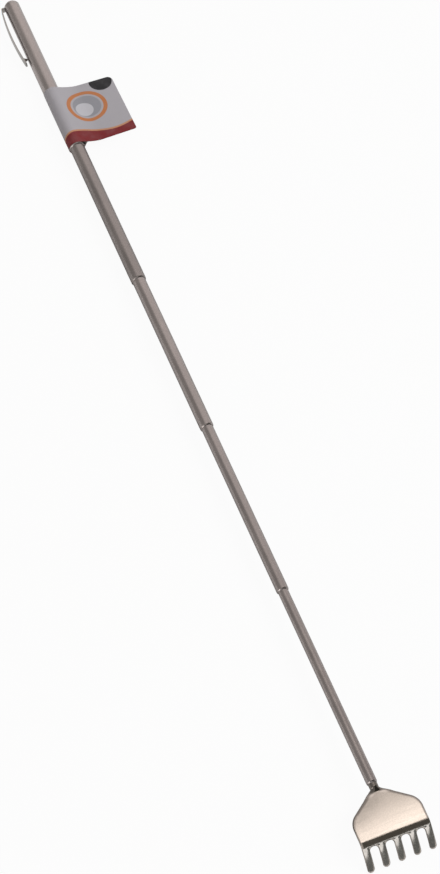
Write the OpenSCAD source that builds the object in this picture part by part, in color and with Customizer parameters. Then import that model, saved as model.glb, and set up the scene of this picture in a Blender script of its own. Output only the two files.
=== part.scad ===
// Pocket back scratcher: five telescoping steel tubes, a stamped bear claw, a pocket clip and a paper flag.
// Millimetres. The pole lies along +X with its butt at the origin, the claw's back faces +Z.

/* [Tubes] */
// outside diameter of the handle tube
handle_d = 9; // [8:0.1:10]
// how much narrower each next tube is
tube_step = 1; // [0.95:0.01:1.05]
// wall of every tube
wall = 0.3; // [0.27:0.01:0.33]
// length from the butt to the handle's mouth
handle_len = 116; // [114:0.5:140]
// drawn-out length of the second, third and fourth tubes
section_reveal = 97.5; // [80:0.5:98]
// drawn-out length of the fifth tube
last_reveal = 102; // [98:0.5:110]
// what still shows of a pushed-in tube
parked_reveal = 2; // [1.5:0.1:6]
// radius of the rolled mouth edge
mouth_roll = 1.2; // [0.9:0.05:1.5]
// play between a rolled mouth and the tube inside it
mouth_clear = 0.05; // [0.03:0.01:0.08]

/* [Friction shoes] */
// length of a shoe
shoe_len = 8; // [5:0.5:9]
// angle one shoe covers
shoe_angle = 160; // [120:5:170]
// running play on each face of a shoe
shoe_clear = 0.03; // [0.02:0.01:0.04]
// end play of the shoes between flare and bead
shoe_end_play = 0.1; // [0.05:0.01:0.2]
// how far the flare and the bead stand off the outer bore
stop_clear = 0.05; // [0.04:0.01:0.08]
// length of the flare at a tube's inner end
flare_len = 0.8; // [0.6:0.05:1.2]
// radius of the rolled bead
bead_r = 0.6; // [0.5:0.02:0.8]

/* [End cap] */
// height of the dome
dome_h = 3.1; // [2:0.1:4]
// thickness of the cap's flange
flange_t = 0.6; // [0.4:0.05:1]
// length of the shank in the handle
shank_len = 6; // [4:0.5:7]
// play of the shank in the handle
shank_clear = 0.02; // [0.01:0.01:0.04]

/* [Pocket clip] */
// thickness of the clip's strip
clip_t = 0.6; // [0.5:0.05:0.8]
// width of the strip
clip_w = 3.2; // [2.5:0.1:4]
// length from the ring to the tip
clip_len = 46.5; // [40:0.5:55]
// gap between strip and handle at the bow's peak
clip_gap = 3.1; // [2.4:0.1:4]
// how much closer the strip comes at its ends
clip_bow = 1.6; // [1:0.1:2]
// bend radius at the root, on the strip's middle line
clip_bend = 0.9; // [0.7:0.05:1.2]
// place of the pressed foot, from the ring
foot_at = 42; // [34:0.5:43]
// radius of the foot's round end
foot_r = 0.8; // [0.6:0.05:0.9]
// radius of the foot where it leaves the strip
foot_root_r = 1.5; // [1.2:0.05:1.6]
// play between foot and handle
foot_clear = 0.05; // [0.03:0.01:0.1]

/* [Paper label] */
// length along the handle
label_len = 43; // [30:0.5:46]
// from the label's end to the handle's mouth
label_margin = 1; // [0.9:0.1:6]
// reach of the flag from the pole's axis
flag_reach = 34.8; // [24:0.2:40]
// thickness of one ply
ply = 0.15; // [0.12:0.01:0.2]
// play between paper and handle
label_clear = 0.03; // [0.02:0.01:0.06]
// angle at which the plies leave the handle
flag_fold = 26; // [18:1:40]
// lift of the flag above level
flag_lift = 2; // [-6:0.5:6]
// corner radius of the flag
flag_corner = 3; // [1:0.5:6]

/* [Claw] */
// thickness of the sheet
claw_t = 1; // [0.8:0.05:1.1]
// how far the last mouth closes in on the neck, below its bore
neck_hold = 0.08; // [0.05:0.01:0.3]
// play between the neck and the fifth tube's mouth
neck_clear = 0.02; // [0.01:0.01:0.04]
// length of the neck inside the fifth tube
neck_insert = 9; // [6:0.5:14]
// length of the neck outside before it opens out
neck_show = 2.5; // [2.2:0.1:4]
// length over which the rolled neck is cut back to its waist
neck_cut = 1; // [0.6:0.1:1.5]
// half width of the sheet at the waist
neck_waist = 2.2; // [2:0.1:3]
// length over which the waist opens out to flat sheet
neck_open = 4.4; // [3.5:0.1:8]
// how far the flat sheet lies below the neck's top line
neck_drop = 1; // [0.3:0.1:1.3]
// half width of the sheet where it comes flat
neck_flat_half = 7.6; // [6:0.1:8.5]
// seam left open under the neck
neck_seam = 0.3; // [0.2:0.05:0.6]
// from the neck's mouth to the bend
plate_len = 23; // [22:0.25:32]
// slope of the shoulders
shoulder_angle = 53.5; // [46:0.5:58]
// rounding of the shoulders
shoulder_r = 7.3; // [3:0.1:8]
// pitch of the fingers
finger_pitch = 7.35; // [6.5:0.05:8]
// width of a finger
finger_w = 3.3; // [2.6:0.1:4]
// length of a finger from the bend to its tip
finger_len = 12; // [9:0.5:16]
// bend at the fingers' root
root_bend = 36; // [25:1:42]
// radius of that bend on the sheet's middle
root_r = 4.3; // [2:0.1:5]
// further curl along a finger
finger_curl = 14; // [10:1:32]
// sheet between the bend and the top of a slot
slot_land = 0.6; // [0.3:0.1:1.5]

/* [Hidden] */
$fn = 96;

handle_steel = [0.66, 0.63, 0.61];
claw_steel = [0.82, 0.79, 0.75];
brass = [0.72, 0.56, 0.28];
paper = [0.87, 0.86, 0.89];

tube_count = 5;
finger_count = 5;

// tubes, counted from the handle = 1
function tube_r(i) = handle_d / 2 - (i - 1) * tube_step / 2;
function bore_r(i) = tube_r(i) - wall;
function reveal(i) = i == tube_count ? last_reveal : section_reveal;
function mouth_x(i) = i == 1 ? handle_len : mouth_x(i - 1) + reveal(i);
function held_r(i) = i == tube_count ? bore_r(i) - neck_hold : tube_r(i + 1) + mouth_clear;

// annular gap round an inner tube and what fills it
gap = tube_step / 2 - wall;
stop_rise = gap - stop_clear;
nose = 0.06;
bead_half = sqrt(pow(bead_r, 2) - pow(bead_r - stop_rise, 2));
shoe_bay = shoe_len + 2 * shoe_end_play;
flare_slope = 0.3;

// axial length of the rolled mouth of tube i
function roll_drop(i) = tube_r(i) - held_r(i) - nose;
function roll_len(i) = sqrt(pow(mouth_roll, 2) - pow(mouth_roll - roll_drop(i), 2));
function lip_len(i) = roll_len(i) + wall;

// at full draw the bead stands just short of the lip of the tube outside
stop_play = 0.05;
function bead_x(i) = mouth_x(i - 1) - lip_len(i - 1) - stop_play - bead_half;
function bay_x(i) = bead_x(i) - bead_half - shoe_bay;
function inner_end(i) = i == 1 ? flange_t + clip_t : bay_x(i) - flare_len - flare_slope;

// turns a profile drawn as (radius, x) about the pole's axis
module turned(angle = 360) {
    rotate([0, 90, 0]) rotate_extrude(angle = angle) children();
}

// plain wall with the mouth rolled in
module tube_wall(i, start) {
    end = mouth_x(i);
    roll = roll_len(i);
    translate([bore_r(i), start]) square([wall, end - roll - start]);
    intersection() {
        translate([tube_r(i) - mouth_roll, end - roll]) circle(r = mouth_roll);
        translate([held_r(i), end - roll]) square([tube_r(i) - held_r(i), roll]);
    }
    translate([held_r(i), end - lip_len(i)]) square([bore_r(i) - held_r(i) + wall / 2, wall]);
}

// end of an inner tube, opened out behind the shoes
module flare_section(i) {
    x0 = inner_end(i);
    x1 = x0 + flare_len;
    x2 = x1 + flare_slope;
    polygon([[bore_r(i) + stop_rise, x0], [tube_r(i) + stop_rise, x0], [tube_r(i) + stop_rise, x1],
             [tube_r(i), x2], [bore_r(i), x2], [bore_r(i) + stop_rise, x1]]);
}

// rolled bead that stops against the lip of the tube outside
module bead_section(i) {
    middle = [tube_r(i) + stop_rise - bead_r, bead_x(i)];
    intersection() {
        translate(middle) circle(r = bead_r);
        translate([tube_r(i) - wall / 2, bead_x(i) - bead_half]) square([wall, 2 * bead_half]);
    }
}

module sliding_tube(i) {
    color(handle_steel) turned() {
        difference() {
            union() {
                tube_wall(i, inner_end(i) + flare_len + flare_slope);
                bead_section(i);
            }
            translate([tube_r(i) + stop_rise - bead_r, bead_x(i)]) circle(r = bead_r - wall);
        }
        flare_section(i);
    }
}

// one half-round spring shoe in the bay of tube i, turned from its place under the tube
module shoe(i, turn) {
    inner = tube_r(i) + shoe_clear;
    outer = tube_r(i) + gap - shoe_clear;
    color(brass) rotate([turn - shoe_angle / 2, 0, 0]) turned(shoe_angle)
        translate([inner, bay_x(i) + shoe_end_play]) square([outer - inner, shoe_len]);
}

module handle_tube() {
    color(handle_steel) turned() tube_wall(1, inner_end(1));
}

module end_cap() {
    rim = tube_r(1);
    dome_r = (pow(rim, 2) + pow(dome_h, 2)) / (2 * dome_h);
    color(handle_steel) turned() {
        square([rim, flange_t]);
        square([bore_r(1) - shank_clear, flange_t + clip_t + shank_len]);
        intersection() {
            translate([0, dome_r - dome_h]) circle(r = dome_r);
            translate([0, -dome_h]) square([rim, dome_h]);
        }
    }
}

// middle line of the clip's strip: out from the ring, round the bend, then along the handle in a bow
clip_x0 = flange_t + clip_t / 2;
clip_peak = tube_r(1) + clip_gap + clip_t / 2;
clip_mid = clip_x0 + clip_len / 2;
function clip_y(x) = clip_peak - clip_bow * pow((x - clip_mid) / (clip_len / 2), 2);
clip_slope = atan(8 * clip_bow * (clip_mid - clip_x0 - clip_bend) / pow(clip_len, 2));
clip_start = clip_x0 + clip_bend * (1 - sin(clip_slope));
bend_steps = 8;
bow_steps = 28;
bend_centre = [clip_x0 + clip_bend, clip_y(clip_start) - clip_bend * cos(clip_slope)];
clip_line = concat(
    [[clip_x0, tube_r(1) - wall / 2]],
    [for (k = [0 : bend_steps]) let (a = 180 - k * (90 - clip_slope) / bend_steps)
        bend_centre + clip_bend * [cos(a), sin(a)]],
    [for (k = [1 : bow_steps]) let (x = clip_start + (clip_x0 + clip_len - clip_start) * k / bow_steps)
        [x, clip_y(x)]]);

// outline of a strip of thickness t along a line of points
function unit(v) = v / norm(v);
function heading(line, k) = unit(line[min(k + 1, len(line) - 1)] - line[max(k - 1, 0)]);
function beside(line, k, d) = line[k] + d * [-heading(line, k)[1], heading(line, k)[0]];
function strip(line, t) = concat([for (k = [0 : len(line) - 1]) beside(line, k, t / 2)],
                                 [for (k = [len(line) - 1 : -1 : 0]) beside(line, k, -t / 2)]);

module pocket_clip() {
    foot_x = clip_x0 + foot_at;
    foot_y = tube_r(1) + foot_clear + foot_r;
    tip_x = clip_x0 + clip_len;
    color(claw_steel) union() {
        turned() translate([bore_r(1), flange_t]) square([wall, clip_t]);
        mirror([0, 1, 0]) {
            intersection() {
                linear_extrude(clip_w, center = true) polygon(strip(clip_line, clip_t));
                rotate([90, 0, 0]) linear_extrude(4 * clip_peak, center = true) union() {
                    translate([-clip_len, -clip_w / 2]) square([tip_x - clip_w / 2 + clip_len, clip_w]);
                    translate([tip_x - clip_w / 2, 0]) circle(r = clip_w / 2);
                }
            }
            translate([foot_x, foot_y, 0]) sphere(r = foot_r);
            translate([foot_x, foot_y, 0]) rotate([-90, 0, 0])
                cylinder(r1 = foot_r, r2 = foot_root_r, h = clip_y(foot_x) - foot_y);
        }
    }
}

// drop shape of the wrapped paper: most of a circle, closed by its two tangents
wrap_steps = 60;
wrap_from = 90 - flag_fold;
function drop(r) = concat([[r / sin(flag_fold), 0]],
    [for (k = [0 : wrap_steps]) let (a = wrap_from + (360 - 2 * wrap_from) * k / wrap_steps)
        r * [cos(a), sin(a)]]);

module paper_label() {
    inner = tube_r(1) + label_clear;
    start = handle_len - label_margin - label_len;
    fold = inner / sin(flag_fold);
    color(paper) rotate([flag_lift, 0, 0]) intersection() {
        translate([start, 0, 0]) rotate([90, 0, 90]) linear_extrude(label_len) difference() {
            union() {
                polygon(drop(inner + ply));
                translate([fold - ply, -ply]) square([flag_reach - fold + ply, 2 * ply]);
            }
            polygon(drop(inner));
        }
        linear_extrude(4 * handle_d, center = true) union() {
            translate([start, -handle_d]) square([label_len, handle_d + flag_reach - flag_corner]);
            translate([start + flag_corner, 0]) square([label_len - 2 * flag_corner, flag_reach]);
            for (x = [start + flag_corner, start + label_len - flag_corner])
                translate([x, flag_reach - flag_corner]) circle(r = flag_corner);
        }
    }
}

// claw: the sheet's middle line in side view, flat plate then root bend then curled finger
neck_x = mouth_x(tube_count);
neck_mid_r = held_r(tube_count) - neck_clear - claw_t / 2;
sheet_z = neck_mid_r - neck_drop;
flat_x = neck_x + neck_show + neck_open;
bend_x = neck_x + plate_len;
root_steps = 10;
curl_steps = 12;
curl_r = finger_len / (finger_curl * PI / 180);
bend_end = [bend_x + root_r * sin(root_bend), sheet_z - root_r * (1 - cos(root_bend))];
function curl_point(a) = bend_end
    + curl_r * [sin(root_bend + a) - sin(root_bend), cos(root_bend + a) - cos(root_bend)];
finger_end = curl_point(finger_curl);
finger_slope = root_bend + finger_curl / 2;
sheet_line = concat(
    [[flat_x, sheet_z]],
    [for (k = [0 : root_steps]) let (a = root_bend * k / root_steps)
        [bend_x + root_r * sin(a), sheet_z - root_r * (1 - cos(a))]],
    [for (k = [1 : curl_steps]) curl_point(finger_curl * k / curl_steps)]);
claw_half = (finger_count - 1) / 2 * finger_pitch + finger_w / 2;

// plan of the plate: straight shoulders, rounded into straight sides
module plate_plan() {
    run = (claw_half - neck_flat_half) / tan(shoulder_angle);
    corner = flat_x + run;
    tangent = shoulder_r * tan(shoulder_angle / 2);
    far = finger_end[0] + claw_half;
    for (side = [0, 1]) mirror([0, side]) {
        polygon([[flat_x, 0], [flat_x, neck_flat_half],
                 [corner - tangent * cos(shoulder_angle), claw_half - tangent * sin(shoulder_angle)],
                 [corner + tangent, claw_half - shoulder_r], [corner + tangent, 0]]);
        translate([corner + tangent, 0]) square([far - corner - tangent, claw_half]);
        intersection() {
            translate([corner + tangent, claw_half - shoulder_r]) circle(r = shoulder_r);
            translate([flat_x, 0]) square([corner + tangent - flat_x, claw_half]);
        }
    }
}

// plan of the fingers in their own slope, measured from the end of the bend
module finger_plan() {
    chord = 2 * curl_r * sin(finger_curl / 2);
    slot_w = finger_pitch - finger_w;
    straight = slot_land + slot_w / 2;
    difference() {
        translate([-2 * plate_len, -2 * claw_half]) square([2 * plate_len + straight, 4 * claw_half]);
        for (k = [1 : finger_count - 1])
            translate([straight, (k - finger_count / 2) * finger_pitch]) circle(r = slot_w / 2);
    }
    for (k = [0 : finger_count - 1]) translate([0, (k - (finger_count - 1) / 2) * finger_pitch]) {
        translate([0, -finger_w / 2]) square([chord - finger_w / 2, finger_w]);
        translate([chord - finger_w / 2, 0]) circle(r = finger_w / 2);
    }
}

module claw_sheet() {
    intersection() {
        rotate([90, 0, 0]) linear_extrude(3 * claw_half, center = true) polygon(strip(sheet_line, claw_t));
        linear_extrude(4 * plate_len, center = true) plate_plan();
        translate([bend_end[0], 0, bend_end[1]]) rotate([0, finger_slope, 0])
            linear_extrude(4 * plate_len, center = true) finger_plan();
    }
}

// rolled neck: a strip curled into a split tube, cut back to a waist and opening out from there to flat sheet
rolled_half = PI * neck_mid_r - neck_seam / 2;
open_power = 3.5;
cut_rows = 5;
open_rows = 12;
neck_cols = 28;
lap = 0.4;
flat_limit = 0.0001;
function ease(s) = pow(1 - s, open_power) / neck_mid_r;
// the sheet's middle line comes down from the neck to the plate between the cut and half of the opening
drop_x = neck_x + neck_show - neck_cut;
drop_len = neck_cut + neck_open / 2;
function smooth(t) = let (u = max(0, min(1, t))) u * u * (3 - 2 * u);
function line_z(x) = neck_mid_r - neck_drop * smooth((x - drop_x) / drop_len);
// rows across the strip, each with its place along the pole, how far it has opened and its half width
neck_rows = concat(
    [[neck_x - neck_insert, 0, rolled_half]],
    [for (k = [0 : cut_rows - 1]) let (t = k / cut_rows)
        [neck_x + neck_show - neck_cut * (1 - t), 0, rolled_half + (neck_waist - rolled_half) * t]],
    [for (k = [0 : open_rows]) let (s = k / open_rows)
        [neck_x + neck_show + neck_open * s, s, neck_waist + (neck_flat_half - neck_waist) * s]],
    [[flat_x + lap, 1, neck_flat_half]]);
// point at sideways distance v along the curled sheet, d above its middle
function curled(x, s, v, d) = let (k = ease(s), a = v * k * 180 / PI)
    k < flat_limit ? [x, v, line_z(x) + d]
                   : [x, (1 / k + d) * sin(a), line_z(x) - 1 / k + (1 / k + d) * cos(a)];
function neck_side(d) = [for (row = neck_rows) for (j = [0 : neck_cols])
    curled(row[0], row[1], row[2] * (2 * j / neck_cols - 1), d)];

module claw_neck() {
    rows = len(neck_rows);
    cols = neck_cols + 1;
    below = rows * cols;
    top = [for (i = [0 : rows - 2]) for (j = [0 : cols - 2]) let (p = i * cols + j)
        each [[p, p + 1, p + cols + 1], [p, p + cols + 1, p + cols]]];
    bottom = [for (f = top) [f[2] + below, f[1] + below, f[0] + below]];
    edges = [for (i = [0 : rows - 2]) let (p = i * cols, q = p + cols - 1)
        each [[p, p + cols, p + below], [p + cols, p + cols + below, p + below],
              [q, q + below, q + cols], [q + cols, q + below, q + cols + below]]];
    ends = [for (j = [0 : cols - 2]) let (p = j, q = (rows - 1) * cols + j)
        each [[p, p + below, p + 1], [p + 1, p + below, p + 1 + below],
              [q, q + 1, q + below], [q + 1, q + 1 + below, q + below]]];
    polyhedron(concat(neck_side(claw_t / 2), neck_side(-claw_t / 2)), concat(top, bottom, edges, ends));
}

module claw() {
    color(claw_steel) union() {
        claw_neck();
        claw_sheet();
    }
}

module second_tube() sliding_tube(2);
module second_upper_shoe() shoe(2, 180);
module second_lower_shoe() shoe(2, 0);
module third_tube() sliding_tube(3);
module third_upper_shoe() shoe(3, 180);
module third_lower_shoe() shoe(3, 0);
module fourth_tube() sliding_tube(4);
module fourth_upper_shoe() shoe(4, 180);
module fourth_lower_shoe() shoe(4, 0);
module fifth_tube() sliding_tube(5);
module fifth_upper_shoe() shoe(5, 180);
module fifth_lower_shoe() shoe(5, 0);

handle_tube();
end_cap();
pocket_clip();
paper_label();
second_tube();
second_upper_shoe();
second_lower_shoe();
third_tube();
third_upper_shoe();
third_lower_shoe();
fourth_tube();
fourth_upper_shoe();
fourth_lower_shoe();
fifth_tube();
fifth_upper_shoe();
fifth_lower_shoe();
claw();
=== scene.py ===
import math

import bpy
from mathutils import Matrix, Vector


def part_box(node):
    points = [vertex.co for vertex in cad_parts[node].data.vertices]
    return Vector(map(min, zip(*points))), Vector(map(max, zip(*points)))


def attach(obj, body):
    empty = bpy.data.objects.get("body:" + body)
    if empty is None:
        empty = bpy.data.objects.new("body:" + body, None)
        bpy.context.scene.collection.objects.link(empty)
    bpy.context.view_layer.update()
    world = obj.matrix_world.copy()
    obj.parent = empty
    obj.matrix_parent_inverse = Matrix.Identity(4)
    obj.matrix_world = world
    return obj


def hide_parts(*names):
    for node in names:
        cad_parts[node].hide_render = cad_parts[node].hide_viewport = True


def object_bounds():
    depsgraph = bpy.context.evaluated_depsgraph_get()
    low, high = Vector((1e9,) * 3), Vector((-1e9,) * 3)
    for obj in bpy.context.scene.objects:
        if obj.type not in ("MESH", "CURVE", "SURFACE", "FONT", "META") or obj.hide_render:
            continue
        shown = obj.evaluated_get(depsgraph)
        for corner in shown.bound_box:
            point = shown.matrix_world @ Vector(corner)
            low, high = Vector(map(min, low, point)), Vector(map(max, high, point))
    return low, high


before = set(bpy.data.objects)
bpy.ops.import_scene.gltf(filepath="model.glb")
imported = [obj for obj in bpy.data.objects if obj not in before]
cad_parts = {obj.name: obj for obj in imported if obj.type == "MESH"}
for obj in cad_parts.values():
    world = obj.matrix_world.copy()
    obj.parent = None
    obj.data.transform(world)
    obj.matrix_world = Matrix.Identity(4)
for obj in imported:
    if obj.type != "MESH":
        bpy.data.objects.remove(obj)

cad_low, cad_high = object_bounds()
scene = bpy.context.scene
MM = 0.001
WHITE = (1, 1, 1, 1)

# Camera, fitted to the places of the tube mouths, the bend and the finger tips in the picture
PICTURE_PX = (440, 874)
FOCAL_PX = 1860.5
SENSOR_MM = 36.0
CAMERA_AT = Vector((0.77729, -0.17979, 0.76720))
CAMERA_YAW = math.radians(158.196)
CAMERA_PITCH = math.radians(57.189)
CAMERA_ROLL = math.radians(-0.415)
CAMERA_NEAR = 0.01

# Claw: what the frame doesn't give, lengths in millimetres
CLAW_T = 1.0
CLAW_EDGE = 0.45                # rounding of the cut edges
NECK_D = 4.2
NECK_SEAM = 0.3
NECK_INSERT = 9.0
NECK_INNER_ROW = 1.0            # a row of the mesh this far inside the tube's mouth
NECK_SHOW = 2.5                 # from the mouth to the waist
NECK_CUT = 1.0                  # run over which the rolled sheet is cut back to the waist
NECK_WAIST = 2.2                # half width of the sheet there
NECK_OPEN = 4.4                 # run from the waist to the plate
NECK_DROP = 1.0
NECK_FLAT_HALF = 7.6            # half width where the plate starts
OPEN_POWER = 3.5                # how soon the rolled sheet opens out on that run
PLATE_LEN = 23.0                # from the mouth to the root bend
SHOULDER_ANGLE = math.radians(53.5)
SHOULDER_R = 7.3
CROWN = 0.15                    # fall of the plate at its sides
BOW = 0.045                     # slope of the bowed plate at its ends
ROOT_BEND = math.radians(36)
ROOT_R = 4.3
FINGER_COUNT = 5
FINGER_PITCH = 7.35
FINGER_W = 3.3
FINGER_LEN = 12.0
FINGER_CURL = math.radians(14)
SLOT_LAND = 0.6                 # from the root bend to the slots' round ends
PILLOW = 0.25                   # fall of a finger at its sides
PILLOW_FROM = 0.3               # where it starts, from the root bend
PILLOW_RUN = 0.6                # run until it is full
DIE_ROLL = 0.22                 # fall of the cut edges
DIE_ROLL_WIDTH = 1.3            # how far in it reaches

# Darkened rims of the claw, partly dull sheared edges and partly painted shade, widths in millimetres
PLATE_RIM = 1.3                 # where the plate starts
SIDE_RIM = 0.15                 # where it ends
FINGER_RIM = 0.45               # on the root bend and the fingers
NECK_PAINTED_SHADE = 1.35                # painted shade over the neck: darkened rim as times its half width
NECK_PAINTED_SHADE_TO = 0.66             # share of the opening run at which that has become the plate's rim
RIM_FADE = (0.5, 1.3)           # shares of a rim's width between which the darkened steel (dull edge and painted shade) turns bright

# Steps of the claw's mesh
FINGER_COLUMNS = 12
SLOT_COLUMNS = 10
CUT_ROWS = 8
OPEN_ROWS = 16
PLATE_ROWS = 32
BEND_ROWS = 12
LAND_ROWS = 8
FINGER_ROWS = 22

# Label, lengths in millimetres
PLY = 0.15
PLY_EDGE = PLY * 0.3            # rounding of the cut edges
PLY_GAP = 0.02
LABEL_CLEAR = 0.03              # between the paper and the handle
FLAG_FOLD = math.radians(26)    # slope at which the upper ply leaves the handle
LOWER_FOLD = math.radians(65)   # slope at which the lower ply leaves it
FLAG_FLAT_FROM = 15.0           # from the pole's axis
FLAG_TILT = (math.radians(0.7), math.radians(3.3))
FLAG_CORNERS = (3.0, 1.2)

# Steps of the label's mesh
FLAT_STEPS = 14
BEND_STEPS = 20                 # of the upper ply's bend to the handle, and of the lower ply's own bend
PARTING = 14                    # step of the upper ply's bend at which the plies part
WRAP_STEPS = 40
LENGTH_STEPS = 24
CORNER_STEPS = 6
EDGE_SEGMENTS = 3
EDGE_ANGLE = math.radians(55)   # edges sharper than this are rounded

# Print of the label, in millimetres along the handle and in from the flag's edge
UV_UNIT = 100                   # millimetres to a unit of UV
PRINT_GROUND = (0.36, 0.345, 0.37, 1)
PRINT_SOFT = 0.12
DISH_AT = (17, 20)
DISH_R = 8.0
DISH_INK = (0.25, 0.25, 0.275, 1)
SHINE_AT = (19, 22)
SHINE_R = 5.0
SHINE_INK = (0.46, 0.455, 0.49, 1)
RING_OUTER_R = 11.5
RING_INNER_R = 9.2
RING_INK = (0.44, 0.16, 0.055, 1)
SPOT_AT = (2, 7)
SPOT_R = 6.5
SPOT_INK = (0.012, 0.012, 0.014, 1)
WAVE_TURN = 0.16                # radians to a millimetre
WAVE_HEIGHT = 1.8
BORDER_FROM = (35.2, 35.5)
BORDER_INK = (0.46, 0.22, 0.12, 1)
WAVE_FROM = (36.4, 36.7)
WAVE_INK = (0.17, 0.012, 0.015, 1)

# Papers, where a ramp is (start, end, result at start, result at end) and a depth is in millimetres
COAT_CLOUDS = 18.0
COAT_CLOUD_RAMP = (0.3, 0.8, 0.0, 0.10)
COAT_CLOUD_INK = (0.30, 0.285, 0.30, 1)
COAT_FIBRES = (300, 900, 1)
COAT_ROUGH = (0.2, 0.8, 0.34, 0.48)
COAT_GLOSS = 0.25
COAT_DEPTH = 0.01
COAT_BUMP = 0.6
INSIDE_TONES = ((0.74, 0.73, 0.71, 1), (0.82, 0.81, 0.79, 1))
INSIDE_CLOUDS = 120.0
INSIDE_CLOUD_RAMP = (0.3, 0.7)
INSIDE_FIBRES = 2600.0
INSIDE_ROUGH = (0.2, 0.8, 0.7, 0.9)
INSIDE_DEPTH = 0.02
INSIDE_BUMP = 0.7

# Metals, where a shade is times the metal's own colour
HAIR_SPREAD = 0.45              # scale of the scratches, as a share of the grain's
HAIR_RAMP = (0.66, 0.72)
SPECK_SCALE = 14                # as times the smudges' scale
WEAR_RAMP = (0.3, 0.7, 0.0, 0.5)
WEAR_SHADES = (0.88, 1.05)
STREAK_RAMP = (0.25, 0.75)
STREAK_SHADE = 0.8
RIM_WAVER = (0.3, 0.7, -0.1, 0.1)
RIM_DULL_AND_PAINTED_SHADE = 0.3
POLISH_RAMP = (0.25, 0.75)
POLISH_SHARES = (0.85, 1.2)     # of the metal's own roughness
GRAIN_ROUGH = (0.2, 0.8, -0.02, 0.04)
SCRATCH_ROUGH = 0.08
SCRATCH_DEPTH = 0.6             # as a share of the grain's
TUBE_COLOUR = (0.48, 0.43, 0.415)
TUBE_GRAIN = (60, 5200, 5200)
TUBE_SMUDGES = 70

# Floor, in metres, with ramps over the distance from the handle's butt
FLOOR_SIZE = 80.0
FLOOR_GAP = 0.0002
FLOOR_COLOUR = (0.55, 0.55, 0.55, 1)
SEEN_RAMP = (0.7, 1.6, 0.95, 1.0)
BUTT_RAMP = (0.03, 0.12, 0.6, 0.05)
FAR_RAMP = (0.7, 1.6, 0.05, 1.0)

# Studio by direction, with +X to the claw and +Y to the right; a window is (axis, empty at, full at)
STUDIO_TONE = (0.4, 0.39, 0.375, 1)
LEFT_CEILING = (("x", -0.72, -0.5), ("y", -0.1, -0.35), ("z", 0.2, 0.5))
LEFT_CEILING_TONE = (0.33, 0.317, 0.308, 1)
BACK_PANEL = (("x", -0.11, -0.17), ("y", -0.35, 0.05), ("z", -0.1, 0.1))
FRONT = (("x", 0.1, 0.3), ("z", 0.7, 0.5))
FRONT_TONE = (0.12, 0.13, 0.13, 1)
RIGHT_CEILING = (("x", -0.17, -0.11), ("y", -0.12, 0.08), ("z", 0.45, 0.6))
RIGHT_CEILING_TONE = (0.068, 0.066, 0.058, 1)
FRONT_WINDOW = (("x", 0.5, 0.6), ("y", -0.6, -0.5), ("z", 0.57, 0.545), ("sill", 0.43, 0.455))
FRONT_WINDOW_TONE = (1.02, 1.07, 1.1, 1)
SILL_SLOPE = 0.12
LEFT_STRIP = (("x", -0.05, 0.15), ("y", -0.62, -0.75), ("z", -0.05, 0.1))
LEFT_STRIP_TONE = (1.9, 1.86, 1.8, 1)
HORIZON_RAMP = (0.1, 0.0)

# Back panel, with ramps over X for the levels of its lower and its overhead part
LOWER_TONE = (1.0, 0.95, 0.93)
LOWER_FAR_LEVEL = (-0.72, -0.62, 1.3, 1.0)
LOWER_NEAR_LEVEL = (-0.46, -0.34, 0.77, 0.42)
OVERHEAD_TONE = (1.0, 0.945, 0.9)
OVERHEAD_LEVEL = (-0.37, -0.2, 0.57, 1.54)
OVERHEAD_Z = (0.84, 0.9)
OVERHEAD_RIGHT_Y = (0.165, 0.235)
OVERHEAD_LEFT_NEAR = (-0.35, -0.2)
OVERHEAD_LEFT_FAR = (-0.36, -0.4, 0.0, 0.78)

# Lamp, in metres and watts
LAMP_TOWARD = (0.3, 0.65, 0.7)
LAMP_DISTANCE = 2.2
LAMP_SIZE = 1.6
LAMP_POWER = 42


# Small helpers for meshes

def smooth_step(t):
    """0 up to t = 0, 1 from t = 1, smooth between."""
    t = min(max(t, 0.0), 1.0)
    return t * t * (3 - 2 * t)


def spread(count, start, end):
    """Values from start to end in count even steps."""
    return [start + (end - start) * k / count for k in range(count + 1)]


def round_spread(count, half):
    """Values from -half to half in count steps, closer together at the ends."""
    return [half * math.sin(math.pi * (k / count - 0.5)) for k in range(count + 1)]


def add_object(name, data):
    made = bpy.data.objects.new(name, data)
    scene.collection.objects.link(made)
    return made


def smooth_object(name, mesh):
    """An object with smooth shading from a mesh."""
    mesh.polygons.foreach_set("use_smooth", [True] * len(mesh.polygons))
    mesh.validate()
    return add_object(name, mesh)


def grid_object(name, rows, places):
    """A mesh object from rows of points in millimetres, with each point's UV in places."""
    width = len(rows[0])
    points = [Vector(point) * MM for row in rows for point in row]
    uvs = [place for row in places for place in row]
    faces = []
    for r in range(len(rows) - 1):
        for c in range(width - 1):
            k = r * width + c
            faces.append((k, k + 1, k + width + 1, k + width))
    mesh = bpy.data.meshes.new(name)
    mesh.from_pydata(points, [], faces)
    layer = mesh.uv_layers.new(name="place")
    for spot, corner in zip(layer.data, mesh.loops):
        spot.uv = uvs[corner.vertex_index]
    return smooth_object(name, mesh)


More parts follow.
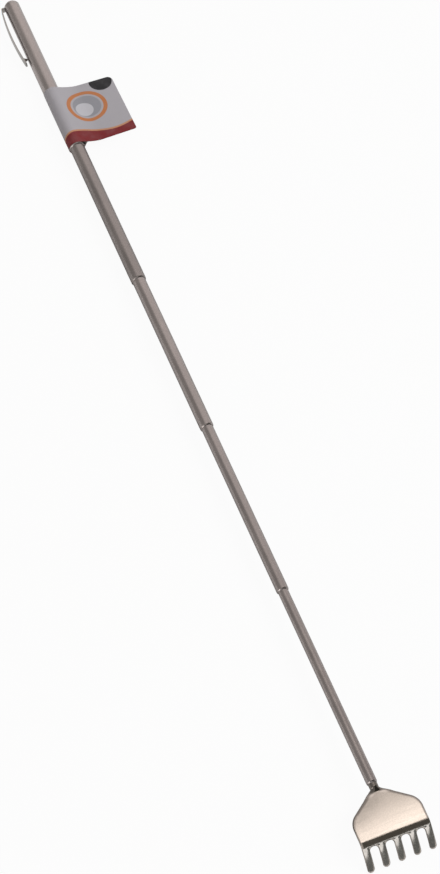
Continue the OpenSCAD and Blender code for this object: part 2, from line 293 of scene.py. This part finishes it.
def shell_object(name, rows, thickness, edge):
    """A sheet from rows of (middle point, distance to the nearest cut edge, width of the darkened rim there).

    A None in a row leaves a hole. The cut edges are rounded, and the mesh keeps the distances, as shares of
    the rim's width, as "from_edge".
    """
    index = {}
    middles = []
    shares = []
    halves = []
    for r, row in enumerate(rows):
        for c, spot in enumerate(row):
            if spot is not None:
                middle, away, rim = spot
                index[r, c] = len(middles)
                middles.append(Vector(middle) * MM)
                shares.append(away / rim)
                rest = edge - min(max(away, 0.0), edge)
                halves.append((thickness / 2 - edge + math.sqrt(edge ** 2 - rest ** 2)) * MM)
    cells = []
    for r in range(len(rows) - 1):
        for c in range(len(rows[r]) - 1):
            cell = [(r, c), (r + 1, c), (r + 1, c + 1), (r, c + 1)]
            if all(key in index for key in cell):
                cells.append([index[key] for key in cell])
    sheet = bpy.data.meshes.new("sheet")
    sheet.from_pydata(middles, [], cells)
    normals = [vertex.normal.copy() for vertex in sheet.vertices]
    bpy.data.meshes.remove(sheet)
    count = len(middles)
    points = [p + n * h for p, n, h in zip(middles, normals, halves)]
    points += [p - n * h for p, n, h in zip(middles, normals, halves)]
    faces = list(cells)
    faces += [[k + count for k in reversed(cell)] for cell in cells]
    sides = {(cell[k - 1], cell[k]) for cell in cells for k in range(4)}
    faces += [[b, a, a + count, b + count] for a, b in sorted(sides) if (b, a) not in sides]
    mesh = bpy.data.meshes.new(name)
    mesh.from_pydata(points, [], faces)
    mesh.attributes.new("from_edge", "FLOAT", "POINT").data.foreach_set("value", shares * 2)
    return smooth_object(name, mesh)


def thicken(piece, thickness, edge, inner_slot):
    """Gives a sheet its thickness about its middle, and rounds its cut edges."""
    solid = piece.modifiers.new("thickness", "SOLIDIFY")
    solid.thickness = thickness * MM
    solid.offset = 0
    solid.use_even_offset = True
    solid.material_offset = inner_slot
    bevel = piece.modifiers.new("edge", "BEVEL")
    bevel.width = edge * MM
    bevel.segments = EDGE_SEGMENTS
    bevel.limit_method = "ANGLE"
    bevel.angle_limit = EDGE_ANGLE
    bevel.harden_normals = True


# Small helpers for materials

def put(tree, kind, values=None, **settings):
    """Adds a node, sets it, and sets or links its inputs."""
    made = tree.nodes.new(kind)
    for name, value in settings.items():
        setattr(made, name, value)
    for key, value in (values or {}).items():
        if isinstance(value, bpy.types.NodeSocket):
            tree.links.new(value, made.inputs[key])
        else:
            made.inputs[key].default_value = value
    return made


def calc(tree, operation, first, second=0.0):
    return put(tree, "ShaderNodeMath", {0: first, 1: second}, operation=operation).outputs[0]


def ramp(tree, value, start, end, low=0.0, high=1.0):
    """low at start, high at end, smooth between."""
    values = {"Value": value, "From Min": start, "From Max": end, "To Min": low, "To Max": high}
    return put(tree, "ShaderNodeMapRange", values, interpolation_type="SMOOTHSTEP").outputs["Result"]


def blend_colour(tree, factor, first, second):
    values = {"Fac": factor, "Color1": first, "Color2": second}
    return put(tree, "ShaderNodeMixRGB", values).outputs["Color"]


def stretched(tree, coordinates, scale):
    """Coordinates times a scale for each axis."""
    return put(tree, "ShaderNodeVectorMath", {0: coordinates, 1: scale}, operation="MULTIPLY").outputs[0]


def scaled(tree, tone, level):
    """A tone times one level, which may make it brighter than 1."""
    return put(tree, "ShaderNodeVectorMath", {0: tone, "Scale": level}, operation="SCALE").outputs[0]


def noise(tree, coordinates, scale=1.0, detail=2.0):
    values = {"Vector": coordinates, "Scale": scale, "Detail": detail}
    return put(tree, "ShaderNodeTexNoise", values).outputs["Fac"]


def disc(tree, place, centre, radius):
    """1 inside a disc on the label, 0 outside."""
    values = {0: place, 1: (*centre, 0)}
    away = put(tree, "ShaderNodeVectorMath", values, operation="DISTANCE").outputs["Value"]
    return ramp(tree, away, radius + PRINT_SOFT, radius - PRINT_SOFT)


def shade(colour, factor):
    """A colour times a factor, at most 1, with its alpha."""
    return [min(c * factor, 1) for c in colour] + [1]


def ray_kinds(tree):
    """1 for what the camera sees directly, and 1 for what it sees in or through a surface."""
    path = put(tree, "ShaderNodeLightPath")
    mirrored = calc(tree, "MAXIMUM", path.outputs["Is Glossy Ray"], path.outputs["Is Transmission Ray"])
    return path.outputs["Is Camera Ray"], mirrored


def new_material(name):
    made = bpy.data.materials.new(name)
    made.use_nodes = True
    tree = made.node_tree
    return made, tree, tree.nodes["Principled BSDF"]


def add_bump(tree, shader, height, depth, strength):
    """Bump on a shader, its depth in millimetres."""
    bump = put(tree, "ShaderNodeBump", {"Height": height, "Distance": depth * MM, "Strength": strength})
    tree.links.new(bump.outputs["Normal"], shader.inputs["Normal"])


# Materials

def steel(name, colour, roughness, grain, grain_depth, smudge_scale, streaks=0.25, rim=None):
    """Metal with fine parallel grain, uneven polish and hairline scratches.

    grain is its scale along X, Y and Z, and streaks how far it darkens the metal. rim, where it is given, is
    the pair of "from_edge" values between which the darkened rim ends, partly a dull sheared edge and partly
    painted shade.
    """
    made, tree, shader = new_material(name)
    place = put(tree, "ShaderNodeTexCoord").outputs["Object"]
    lines = noise(tree, stretched(tree, place, grain), detail=4.0)
    smudges = noise(tree, place, smudge_scale, detail=3.0)
    hairs = noise(tree, stretched(tree, place, [g * HAIR_SPREAD for g in grain]), detail=1.0)
    scratch = ramp(tree, hairs, *HAIR_RAMP)
    specks = noise(tree, place, smudge_scale * SPECK_SCALE, detail=2.0)
    wear = calc(tree, "ADD", ramp(tree, smudges, *WEAR_RAMP), ramp(tree, specks, *WEAR_RAMP))
    worn = blend_colour(tree, wear, *[shade(colour, s) for s in WEAR_SHADES])
    streaky = ramp(tree, lines, *STREAK_RAMP, 0.0, streaks)
    lined = blend_colour(tree, streaky, worn, shade(colour, STREAK_SHADE))
    # painted shade: the cut edges are darkened like a dull sheared rim, and more widely where the rim stands
    # in for dark reflections
    if rim:
        from_edge = put(tree, "ShaderNodeAttribute", attribute_name="from_edge").outputs["Fac"]
        uneven = calc(tree, "ADD", from_edge, ramp(tree, smudges, *RIM_WAVER))
        lined = blend_colour(tree, ramp(tree, uneven, *rim), shade(colour, RIM_DULL_AND_PAINTED_SHADE), lined)
    tree.links.new(lined, shader.inputs["Base Color"])
    rough = ramp(tree, smudges, *POLISH_RAMP, *[roughness * s for s in POLISH_SHARES])
    rough = calc(tree, "ADD", rough, ramp(tree, lines, *GRAIN_ROUGH))
    rough = calc(tree, "ADD", rough, calc(tree, "MULTIPLY", scratch, SCRATCH_ROUGH))
    tree.links.new(rough, shader.inputs["Roughness"])
    height = calc(tree, "SUBTRACT", lines, calc(tree, "MULTIPLY", scratch, SCRATCH_DEPTH))
    add_bump(tree, shader, height, grain_depth, strength=1.0)
    shader.inputs["Metallic"].default_value = 1.0
    return made


def printed_paper():
    """Coated paper with a plain print: a ring round a dish, a dark half disc and a wave with a border."""
    made, tree, shader = new_material("label_print")
    uv = put(tree, "ShaderNodeUVMap", uv_map="place").outputs["UV"]
    place = stretched(tree, uv, (UV_UNIT, UV_UNIT, UV_UNIT))
    split = put(tree, "ShaderNodeSeparateXYZ", {0: place})
    along, inward = split.outputs["X"], split.outputs["Y"]
    wave = calc(tree, "SINE", calc(tree, "MULTIPLY", inward, WAVE_TURN))
    from_wave = calc(tree, "SUBTRACT", along, calc(tree, "MULTIPLY", wave, WAVE_HEIGHT))
    ring = disc(tree, place, DISH_AT, RING_OUTER_R)
    ring = calc(tree, "SUBTRACT", ring, disc(tree, place, DISH_AT, RING_INNER_R))
    inks = [
        (DISH_INK, disc(tree, place, DISH_AT, DISH_R)),
        (SHINE_INK, disc(tree, place, SHINE_AT, SHINE_R)),
        (RING_INK, ring),
        (SPOT_INK, disc(tree, place, SPOT_AT, SPOT_R)),
        (BORDER_INK, ramp(tree, from_wave, *BORDER_FROM)),
        (WAVE_INK, ramp(tree, from_wave, *WAVE_FROM)),
    ]
    colour = PRINT_GROUND
    for ink, mask in inks:
        colour = blend_colour(tree, mask, colour, ink)
    clouds = noise(tree, uv, COAT_CLOUDS, detail=3.0)
    colour = blend_colour(tree, ramp(tree, clouds, *COAT_CLOUD_RAMP), colour, COAT_CLOUD_INK)
    tree.links.new(colour, shader.inputs["Base Color"])
    shader.inputs["Specular IOR Level"].default_value = COAT_GLOSS
    fibres = noise(tree, stretched(tree, uv, COAT_FIBRES), detail=3.0)
    tree.links.new(ramp(tree, fibres, *COAT_ROUGH), shader.inputs["Roughness"])
    add_bump(tree, shader, fibres, COAT_DEPTH, COAT_BUMP)
    return made


def plain_paper():
    """Uncoated inner side of the label."""
    made, tree, shader = new_material("label_inside")
    place = put(tree, "ShaderNodeTexCoord").outputs["Object"]
    fibres = noise(tree, place, INSIDE_FIBRES, detail=4.0)
    clouds = noise(tree, place, INSIDE_CLOUDS, detail=2.0)
    colour = blend_colour(tree, ramp(tree, clouds, *INSIDE_CLOUD_RAMP), *INSIDE_TONES)
    tree.links.new(colour, shader.inputs["Base Color"])
    tree.links.new(ramp(tree, fibres, *INSIDE_ROUGH), shader.inputs["Roughness"])
    add_bump(tree, shader, fibres, INSIDE_DEPTH, INSIDE_BUMP)
    return made


# Pieces

def claw_piece(finish):
    """The stamped claw: split neck, waist, plate, root bend and five curled fingers, as one sheet."""
    neck_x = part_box("fifth_tube")[1].x / MM
    claw_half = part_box("claw")[1].y / MM
    neck_r = NECK_D / 2 - CLAW_T / 2
    rolled_half = math.pi * neck_r - NECK_SEAM / 2
    waist_x = neck_x + NECK_SHOW
    cut_x = waist_x - NECK_CUT
    flat_x = waist_x + NECK_OPEN
    bend_x = neck_x + PLATE_LEN + ROOT_R * math.sin(BOW)
    crown_bend = 2 * CROWN / claw_half ** 2
    finger_half = FINGER_W / 2
    slot_r = FINGER_PITCH / 2 - finger_half
    web = SLOT_LAND + slot_r
    curl_r = FINGER_LEN / FINGER_CURL

    # columns across the sheet: (sideways place, offset in its finger or None, offset in its slot or None)
    columns = []
    for k in range(FINGER_COUNT):
        middle = (k - (FINGER_COUNT - 1) / 2) * FINGER_PITCH
        columns += [(middle + e, e, None) for e in round_spread(FINGER_COLUMNS, finger_half)]
        if k < FINGER_COUNT - 1:
            slot_middle = middle + FINGER_PITCH / 2
            columns += [(slot_middle + d, None, d) for d in round_spread(SLOT_COLUMNS, slot_r)[1:-1]]

    def line_z(x):
        """Height of the middle line: down from the neck to the plate, which is bowed a little."""
        drop = NECK_DROP * smooth_step((x - cut_x) / (NECK_CUT + NECK_OPEN / 2))
        t = min(max((x - cut_x) / (bend_x - cut_x), 0.0), 1.0)
        return neck_r - drop + BOW * (bend_x - cut_x) * t * (1 - t)

    def across(v, bend):
        """Sideways place and fall of a point v along a strip of that curvature."""
        return math.sin(v * bend) / bend, (1 - math.cos(v * bend)) / bend

    def die_roll(away):
        """How far the blanking die drew the sheet down near its cut edge."""
        return DIE_ROLL * max(1 - away / DIE_ROLL_WIDTH, 0.0) ** 2

    def plan(x):
        """Half width of the plate and cosine of its outline: straight shoulder, rounding, straight side."""
        corner = flat_x + (claw_half - NECK_FLAT_HALF) / math.tan(SHOULDER_ANGLE)
        tangent = SHOULDER_R * math.tan(SHOULDER_ANGLE / 2)
        if x < corner - tangent * math.cos(SHOULDER_ANGLE):
            return NECK_FLAT_HALF + (x - flat_x) * math.tan(SHOULDER_ANGLE), math.cos(SHOULDER_ANGLE)
        if x < corner + tangent:
            rise = math.sqrt(SHOULDER_R ** 2 - (corner + tangent - x) ** 2)
            return claw_half - SHOULDER_R + rise, rise / SHOULDER_R
        return claw_half, 1.0

    # rows of the neck and the plate: (place, how far opened, half width, cosine of the outline)
    strips = [(x, 0.0, rolled_half, 1.0) for x in (neck_x - NECK_INSERT, neck_x - NECK_INNER_ROW)]
    for t in spread(CUT_ROWS, 0, 1)[:-1]:
        strips.append((cut_x + NECK_CUT * t, 0.0, rolled_half + (NECK_WAIST - rolled_half) * t, 1.0))
    for s in spread(OPEN_ROWS, 0, 1)[:-1]:
        half = NECK_WAIST + (NECK_FLAT_HALF - NECK_WAIST) * s
        strips.append((waist_x + NECK_OPEN * s, s, half, math.cos(SHOULDER_ANGLE)))
    strips += [(x, 1.0, *plan(x)) for x in spread(PLATE_ROWS, flat_x, bend_x)]
    rows = []
    for x, s, half, slant in strips:
        bend = crown_bend + (1 / neck_r - crown_bend) * (1 - s) ** OPEN_POWER
        # the darkened rim is widest where the plate starts and narrows along it: painted shade on top of the
        # sheared edge's even dullness
        rim = PLATE_RIM + (SIDE_RIM - PLATE_RIM) * smooth_step((x - flat_x) / (bend_x - flat_x))
        # painted shade: over the neck the darkened rim is wider than the sheet, so the whole neck is darkened
        rim += (NECK_PAINTED_SHADE * half - rim) * (1 - smooth_step(s / NECK_PAINTED_SHADE_TO))
        row = []
        for y, _, _ in columns:
            v = half * y / claw_half
            away = (half - abs(v)) * slant
            side, fall = across(v, bend)
            row.append(((x, side, line_z(x) - fall - s * die_roll(away)), away, rim))
        rows.append(row)

    def on_profile(x, z, angle, y, dip):
        """A point of the bent part, with the crown, moved down into the sheet by dip."""
        side, fall = across(y, crown_bend)
        return (x - dip * math.sin(angle), side, z - dip * math.cos(angle) - fall)

    # root bend
    for a in spread(BEND_ROWS, BOW, ROOT_BEND)[1:]:
        x = bend_x + ROOT_R * (math.sin(a) - math.sin(BOW))
        z = line_z(bend_x) - ROOT_R * (math.cos(BOW) - math.cos(a))
        row = []
        for y, _, _ in columns:
            away = claw_half - abs(y)
            row.append((on_profile(x, z, a, y, die_roll(away)), away, FINGER_RIM))
        rows.append(row)
    bend_end = (x, z)

    def along_finger(u, y, offset):
        """A point u along a finger, whose section is pillowed a little."""
        turn = ROOT_BEND + u / curl_r
        x = bend_end[0] + curl_r * (math.sin(turn) - math.sin(ROOT_BEND))
        z = bend_end[1] + curl_r * (math.cos(turn) - math.cos(ROOT_BEND))
        blend = smooth_step((u - PILLOW_FROM) / PILLOW_RUN)
        pillow = PILLOW * (offset / finger_half) ** 2
        dip = pillow * blend + die_roll(claw_half - abs(y)) * (1 - blend)
        return on_profile(x, z, turn, y, dip)

    # land above the slots, whose ends are round
    for t in spread(LAND_ROWS, 0, 1)[1:]:
        row = []
        for y, e, d in columns:
            u = t * (web if d is None else web - math.sqrt(slot_r ** 2 - d ** 2))
            from_slot = abs(d) if e is None else FINGER_PITCH / 2 - abs(e)
            away = min(math.hypot(from_slot, web - u) - slot_r, claw_half - abs(y))
            if abs(y) > claw_half - finger_half:
                away = claw_half - abs(y)
            row.append((along_finger(u, y, finger_half if e is None else e), away, FINGER_RIM))
        rows.append(row)
    # fingers, whose tips are round
    for t in spread(FINGER_ROWS, 0, 1)[1:]:
        row = []
        for y, e, _ in columns:
            if e is None:
                row.append(None)
                continue
            tip = FINGER_LEN - finger_half + math.sqrt(max(finger_half ** 2 - e ** 2, 0.0))
            u = web + (tip - web) * t
            away = finger_half - math.hypot(e, max(u - FINGER_LEN + finger_half, 0.0))
            row.append((along_finger(u, y, e), away, FINGER_RIM))
        rows.append(row)

    piece = shell_object("claw_sheet", rows, CLAW_T, CLAW_EDGE)
    piece.data.materials.append(finish)
    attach(piece, "fifth_section")
    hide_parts("claw")


def label_piece():
    """The paper: wrapped round the handle, its two ends stuck together as a flag that twists a little."""
    low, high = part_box("paper_label")
    start, end = low.x / MM, high.x / MM
    reach = high.y / MM
    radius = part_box("handle_tube")[1].z / MM + LABEL_CLEAR + PLY / 2
    leave = math.pi / 2 - FLAG_FOLD
    leave_low = math.pi / 2 - LOWER_FOLD
    level = PLY / 2 + PLY_GAP / 2
    under = Vector((0, -2 * level / math.cos(FLAG_FOLD)))

    def on_handle(angle):
        """Place in side view, (y, z), of a point of the paper that lies on the handle."""
        return Vector((math.cos(angle), math.sin(angle))) * radius

    def crossing(point, along, other, other_along):
        """Where two lines in side view meet."""
        return point + along * ((other - point).cross(other_along) / along.cross(other_along))

    def bend(first, middle, last):
        """Points of a curve that leaves first towards middle and reaches last from middle."""
        steps = spread(BEND_STEPS, 0, 1)
        return [first * (1 - t) ** 2 + middle * 2 * t * (1 - t) + last * t ** 2 for t in steps]

    # side view of the two plies: flat, then up over the handle or, from where they part, down round it
    flat_end = Vector((FLAG_FLAT_FROM, level))
    touch = on_handle(leave)
    corner = crossing(touch, touch.orthogonal(), flat_end, Vector((1, 0)))
    over = bend(flat_end, corner, touch)
    stuck = [point + under for point in over[:PARTING + 1]]
    touch_low = on_handle(-leave_low)
    turn_corner = crossing(touch_low, touch_low.orthogonal(), stuck[-1], stuck[-1] - stuck[-2])
    round_under = bend(stuck[-1], turn_corner, touch_low)
    wrap = [on_handle(a) for a in spread(WRAP_STEPS, leave, 2 * math.pi - leave_low)]

    # rows along the handle, closer together at the flag's round corners
    length = end - start
    inset = spread(CORNER_STEPS, 0, 1)
    steps = [FLAG_CORNERS[0] * t ** 2 for t in inset]
    steps += spread(LENGTH_STEPS, FLAG_CORNERS[0], length - FLAG_CORNERS[1])[1:-1]
    steps += [length - FLAG_CORNERS[1] * t ** 2 for t in reversed(inset)]
    rows = []
    places = []
    for u in steps:
        outer = reach
        for r, away in zip(FLAG_CORNERS, (u, length - u)):
            if away < r:
                outer = reach - r + math.sqrt(max(r ** 2 - (r - away) ** 2, 0.0))
        flat = [Vector((y, level)) for y in spread(FLAT_STEPS, outer, FLAG_FLAT_FROM)[:-1]]
        lower = [point + under for point in flat] + stuck[:-1] + round_under
        path = flat + over + wrap[1:-1] + lower[::-1]
        tilt = FLAG_TILT[0] + (FLAG_TILT[1] - FLAG_TILT[0]) * u / length
        turn = (math.cos(tilt), math.sin(tilt))
        rows.append([(start + u, y * turn[0] - z * turn[1], y * turn[1] + z * turn[0]) for y, z in path])
        gone = reach - outer
        place = []
        for k, point in enumerate(path):
            if k:
                gone += (point - path[k - 1]).length
            place.append((u / UV_UNIT, gone / UV_UNIT))
        places.append(place)
    piece = grid_object("label_paper", rows, places)
    thicken(piece, PLY, PLY_EDGE, inner_slot=1)
    piece.data.materials.append(printed_paper())
    piece.data.materials.append(plain_paper())
    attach(piece, "handle")
    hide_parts("paper_label")


def dress_nodes(finishes, other_finish):
    """Gives each CAD node its own finish or, for the shoes and the two hidden nodes, the other one."""
    for name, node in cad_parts.items():
        node.data.materials.clear()
        node.data.materials.append(finishes.get(name, other_finish))


# Stage

def make_camera():
    """The picture's camera."""
    ahead = Vector((math.cos(CAMERA_YAW) * math.cos(CAMERA_PITCH),
                    math.sin(CAMERA_YAW) * math.cos(CAMERA_PITCH),
                    -math.sin(CAMERA_PITCH)))
    level = ahead.cross(Vector((0, 0, 1))).normalized()
    down = ahead.cross(level)
    right = level * math.cos(CAMERA_ROLL) + down * math.sin(CAMERA_ROLL)
    below = down * math.cos(CAMERA_ROLL) - level * math.sin(CAMERA_ROLL)
    data = bpy.data.cameras.new("camera")
    data.sensor_width = SENSOR_MM
    data.lens = FOCAL_PX * SENSOR_MM / max(PICTURE_PX)
    data.clip_start = CAMERA_NEAR
    camera = add_object("camera", data)
    turn = Matrix((right, -below, -ahead)).transposed().to_4x4()
    camera.matrix_world = Matrix.Translation(CAMERA_AT) @ turn
    scene.camera = camera


def make_floor():
    """A pale floor under the finger tips and the handle.

    The camera sees it almost white, with the object's shadow. Metal sees its dull paint near the pole, paler
    by the handle's butt, and white far away.
    """
    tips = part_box("claw")
    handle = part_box("handle_tube")
    run = tips[1].x - handle[0].x
    slope = math.atan2(handle[0].z - tips[0].z, run)
    half = FLOOR_SIZE / 2
    mesh = bpy.data.meshes.new("floor")
    corners = [(-half, -half, 0), (half, -half, 0), (half, half, 0), (-half, half, 0)]
    mesh.from_pydata(corners, [], [(0, 1, 2, 3)])
    floor = add_object("floor", mesh)
    height = Matrix.Translation((0, 0, handle[0].z - FLOOR_GAP))
    floor.matrix_world = height @ Matrix.Rotation(slope, 4, "Y")
    made, tree, _ = new_material("floor")
    tree.nodes.clear()
    place = put(tree, "ShaderNodeTexCoord").outputs["Object"]
    away = put(tree, "ShaderNodeVectorMath", {0: place}, operation="LENGTH").outputs["Value"]
    seen, mirrored = ray_kinds(tree)
    direct = calc(tree, "MULTIPLY", seen, ramp(tree, away, *SEEN_RAMP))
    pale = calc(tree, "MAXIMUM", ramp(tree, away, *BUTT_RAMP), ramp(tree, away, *FAR_RAMP))
    share = calc(tree, "MAXIMUM", direct, calc(tree, "MULTIPLY", mirrored, pale))
    paint = put(tree, "ShaderNodeBsdfDiffuse", {"Color": FLOOR_COLOUR})
    glow = put(tree, "ShaderNodeEmission", {"Color": WHITE, "Strength": 1.0})
    mixed = put(tree, "ShaderNodeMixShader", {0: share, 1: paint.outputs[0], 2: glow.outputs[0]})
    put(tree, "ShaderNodeOutputMaterial", {"Surface": mixed.outputs[0]})
    mesh.materials.append(made)


def make_world():
    """Studio round the object, white to the camera and, near the horizon, in reflections.

    A bright panel stands behind the object on the right. The front and the right of the ceiling are dark, and
    a window in front and a strip on the left add highlights.
    """
    world = bpy.data.worlds.new("studio")
    scene.world = world
    world.use_nodes = True
    tree = world.node_tree
    tree.nodes.clear()
    way = put(tree, "ShaderNodeTexCoord").outputs["Generated"]
    split = put(tree, "ShaderNodeSeparateXYZ", {0: way})
    x, y, z = (split.outputs[k] for k in "XYZ")
    sill = calc(tree, "SUBTRACT", z, calc(tree, "MULTIPLY", y, SILL_SLOPE))
    axes = {"x": x, "y": y, "z": z, "sill": sill}

    def region(windows):
        """1 where all the windows are full."""
        share = 1.0
        for axis, start, end in windows:
            share = calc(tree, "MULTIPLY", ramp(tree, axes[axis], start, end), share)
        return share

    lower_level = calc(tree, "MULTIPLY", ramp(tree, x, *LOWER_FAR_LEVEL), ramp(tree, x, *LOWER_NEAR_LEVEL))
    lower_tone = scaled(tree, LOWER_TONE, lower_level)
    overhead_tone = scaled(tree, OVERHEAD_TONE, ramp(tree, x, *OVERHEAD_LEVEL))
    left_share = calc(tree, "MAXIMUM", ramp(tree, x, *OVERHEAD_LEFT_NEAR), ramp(tree, x, *OVERHEAD_LEFT_FAR))
    right_share = ramp(tree, y, *OVERHEAD_RIGHT_Y, left_share, 1.0)
    overhead = calc(tree, "MULTIPLY", ramp(tree, z, *OVERHEAD_Z), right_share)
    panel_tone = blend_colour(tree, overhead, lower_tone, overhead_tone)
    regions = [
        (LEFT_CEILING, LEFT_CEILING_TONE),
        (BACK_PANEL, panel_tone),
        (FRONT, FRONT_TONE),
        (RIGHT_CEILING, RIGHT_CEILING_TONE),
        (FRONT_WINDOW, FRONT_WINDOW_TONE),
        (LEFT_STRIP, LEFT_STRIP_TONE),
    ]
    colour = STUDIO_TONE
    for windows, tone in regions:
        colour = blend_colour(tree, region(windows), colour, tone)
    studio = put(tree, "ShaderNodeBackground", {"Color": colour, "Strength": 1.0})
    white = put(tree, "ShaderNodeBackground", {"Color": WHITE, "Strength": 1.0})
    seen, mirrored = ray_kinds(tree)
    horizon = calc(tree, "MULTIPLY", mirrored, ramp(tree, z, *HORIZON_RAMP))
    share = calc(tree, "MAXIMUM", seen, horizon)
    mixed = put(tree, "ShaderNodeMixShader", {0: share, 1: studio.outputs[0], 2: white.outputs[0]})
    put(tree, "ShaderNodeOutputWorld", {"Surface": mixed.outputs[0]})


def make_lamp():
    """A soft key lamp that shows neither to the camera nor in reflections."""
    data = bpy.data.lights.new("key_lamp", "AREA")
    data.shape = "DISK"
    data.size = LAMP_SIZE
    data.energy = LAMP_POWER
    lamp = add_object("key_lamp", data)
    middle = (cad_low + cad_high) / 2
    way = Vector(LAMP_TOWARD).normalized()
    turn = way.to_track_quat("Z", "Y").to_matrix().to_4x4()
    lamp.matrix_world = Matrix.Translation(middle + way * LAMP_DISTANCE) @ turn
    lamp.visible_camera = False
    lamp.visible_glossy = False


# Finishes

handle_steel = steel("handle_steel", TUBE_COLOUR, roughness=0.31,
                     grain=TUBE_GRAIN, grain_depth=0.004, smudge_scale=TUBE_SMUDGES)
second_steel = steel("second_steel", (0.39, 0.35, 0.337), roughness=0.31,
                     grain=TUBE_GRAIN, grain_depth=0.004, smudge_scale=TUBE_SMUDGES)
tube_steel = steel("tube_steel", TUBE_COLOUR, roughness=0.24,
                   grain=TUBE_GRAIN, grain_depth=0.003, smudge_scale=TUBE_SMUDGES)
claw_steel = steel("claw_steel", (0.84, 0.755, 0.68), roughness=0.13,
                   grain=(900, 60, 900), grain_depth=0.0003, smudge_scale=110, streaks=0.06, rim=RIM_FADE)
clip_steel = steel("clip_steel", (0.39, 0.375, 0.357), roughness=0.24,
                   grain=(60, 4000, 4000), grain_depth=0.002, smudge_scale=120)
brass = steel("spring_brass", (0.72, 0.53, 0.24), roughness=0.32,
              grain=(4000, 4000, 60), grain_depth=0.004, smudge_scale=200)
node_finishes = {
    "handle_tube": handle_steel,
    "end_cap": handle_steel,
    "second_tube": second_steel,
    "third_tube": tube_steel,
    "fourth_tube": tube_steel,
    "fifth_tube": tube_steel,
    "pocket_clip": clip_steel,
}

# The scene

make_camera()
dress_nodes(node_finishes, brass)
claw_piece(claw_steel)
label_piece()
make_floor()
make_world()
make_lamp()

scene.view_settings.view_transform = "Standard"
